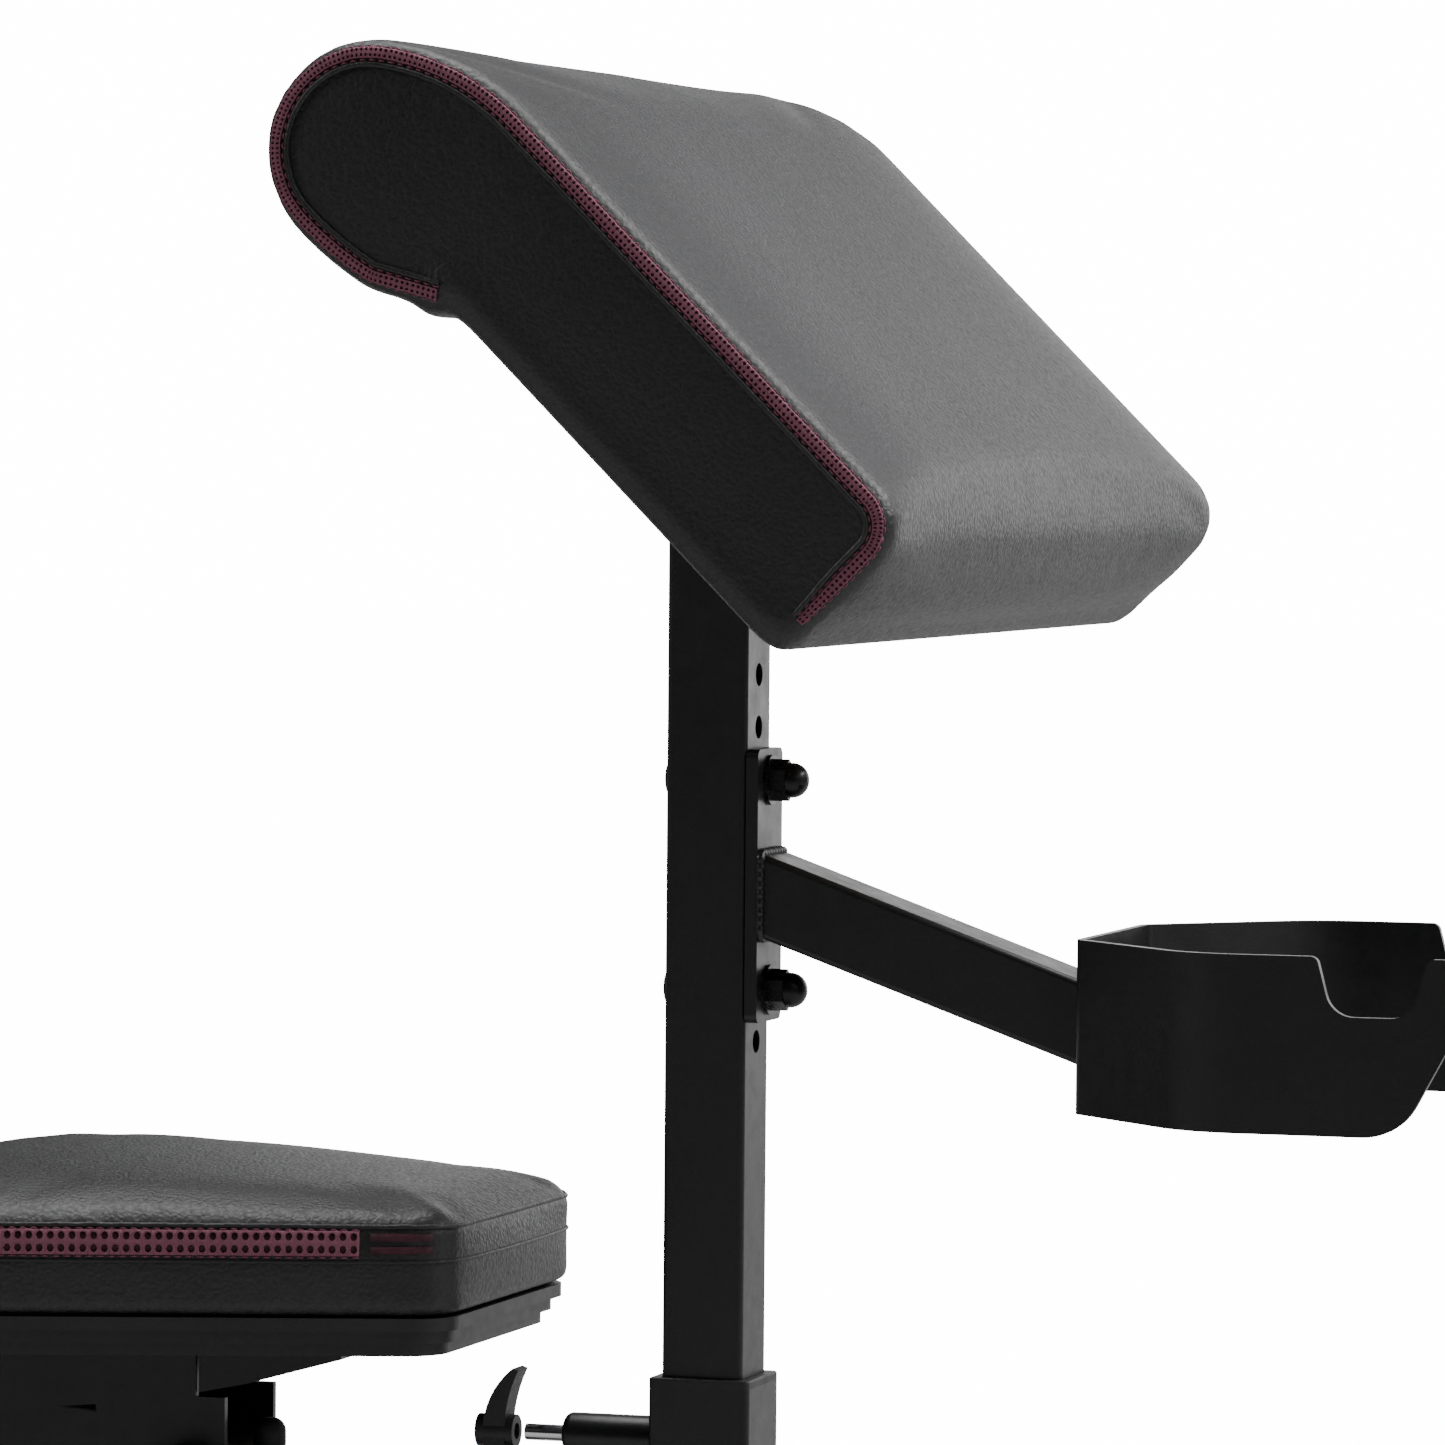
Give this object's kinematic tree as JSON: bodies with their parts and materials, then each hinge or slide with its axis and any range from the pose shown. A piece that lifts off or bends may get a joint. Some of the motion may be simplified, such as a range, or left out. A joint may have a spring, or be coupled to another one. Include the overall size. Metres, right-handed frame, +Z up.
{
  "type": "olympic weight bench",
  "caption": "Adjustable weight bench with telescoping bar uprights, tilting seat and backrest, and a preacher-curl pad on a height-adjustable post with a forked bar yoke.",
  "frame": {"origin": "on the floor under the middle of the bench's outline", "axes": "+X along the bench towards its foot end and the curl station, +Y to the left upright, +Z up"},
  "size_m": [1.8097, 1.158, 1.15],
  "materials": {
    "frame_paint": "satin black powder coat",
    "vinyl": "black grained vinyl",
    "board": "raw plywood",
    "rubber": "matt black rubber",
    "plastic": "matt black moulded plastic",
    "shell": "matt black moulded shell",
    "chrome": "polished",
    "black_fastener": "black oxide",
    "spring": "bright spring wire"
  },
  "bodies": {
    "frame": {"front_foot": "frame_paint", "foot_caps": "rubber", "left_base": "frame_paint", "right_base": "frame_paint", "rear_tie": "frame_paint", "receiver": "frame_paint", "tube_bushings": "plastic", "spine": "frame_paint", "frame_flanges": "frame_paint", "rear_crossmember": "frame_paint", "left_upright": "frame_paint", "right_upright": "frame_paint", "upright_gussets": "frame_paint", "frame_bolts": "black_fastener", "hinge_ears": "frame_paint", "hinge_bolts": "black_fastener", "rubber_stops": "rubber", "prop_rack": "frame_paint", "pin_housings": "frame_paint"},
    "curl_station": {"curl_post": "frame_paint", "curl_pad_plate": "frame_paint", "curl_pad_board": "board", "curl_pad": "vinyl", "curl_pad_screws": "black_fastener", "yoke_plate": "frame_paint", "yoke_arm": "frame_paint", "yoke": "frame_paint", "yoke_bolts": "black_fastener", "yoke_nuts": "black_fastener"},
    "curl_pull_pin": {"curl_pin": "chrome", "curl_pin_handle": "plastic", "curl_pin_spring": "spring"},
    "seat": {"seat_pad": "vinyl", "seat_shell": "shell", "seat_carriage": "frame_paint", "seat_front_brace": "frame_paint", "seat_screws": "black_fastener"},
    "seat_clamp_knob": {"seat_knob": "plastic"},
    "backrest": {"back_pad": "vinyl", "back_board": "board", "left_back_rail": "frame_paint", "right_back_rail": "frame_paint", "back_braces": "frame_paint", "back_screws": "black_fastener", "prop_bolt": "black_fastener"},
    "backrest_prop": {"prop_bars": "frame_paint", "prop_rod": "chrome"},
    "left_upright_slider": {"left_inner_upright": "frame_paint", "left_bar_catch": "frame_paint", "left_top_cap": "plastic"},
    "right_upright_slider": {"right_inner_upright": "frame_paint", "right_bar_catch": "frame_paint", "right_top_cap": "plastic"},
    "left_pull_pin": {"left_pin": "chrome", "left_pin_handle": "plastic", "left_pin_spring": "spring"},
    "right_pull_pin": {"right_pin": "chrome", "right_pin_handle": "plastic", "right_pin_spring": "spring"}
  },
  "joints": [
    {"name": "backrest_tilt", "type": "hinge", "parent": "frame", "child": "backrest", "pos_m": [-0.005, 0, 0.376], "axis": [0, 1, 0], "range_deg": [0, 75]},
    {"name": "prop_swing", "type": "hinge", "parent": "backrest", "child": "backrest_prop", "pos_m": [-0.305, 0, 0.376], "axis": [0, 1, 0], "range_deg": [-150, 0]},
    {"name": "seat_tilt", "type": "hinge", "parent": "frame", "child": "seat", "pos_m": [0.108, 0, 0.366], "axis": [0, -1, 0], "range_deg": [0, 15]},
    {"name": "seat_knob_turn", "type": "hinge", "parent": "frame", "child": "seat_clamp_knob", "pos_m": [0.24097, -0.036, 0.3176], "axis": [0, -1, 0], "continuous": true},
    {"name": "curl_post_lift", "type": "slide", "parent": "frame", "child": "curl_station", "axis": [0, 0, 1], "range_m": [0, 0.15]},
    {"name": "left_upright_lift", "type": "slide", "parent": "frame", "child": "left_upright_slider", "axis": [0, 0, 1], "range_m": [0, 0.3]},
    {"name": "right_upright_lift", "type": "slide", "parent": "frame", "child": "right_upright_slider", "axis": [0, 0, 1], "range_m": [0, 0.3]},
    {"name": "curl_pin_pull", "type": "slide", "parent": "frame", "child": "curl_pull_pin", "axis": [-1, 0, 0], "range_m": [0, 0.014], "stiffness_N_per_m": 600, "deforming": ["curl_pin_spring"]},
    {"name": "left_pin_pull", "type": "slide", "parent": "frame", "child": "left_pull_pin", "axis": [1, 0, 0], "range_m": [0, 0.014], "stiffness_N_per_m": 600, "deforming": ["left_pin_spring"]},
    {"name": "right_pin_pull", "type": "slide", "parent": "frame", "child": "right_pull_pin", "axis": [1, 0, 0], "range_m": [0, 0.014], "stiffness_N_per_m": 600, "deforming": ["right_pin_spring"]}
  ],
  "couplings": [
    {"joint": "prop_swing", "follows": "backrest_tilt", "ratio": -2}
  ]
}
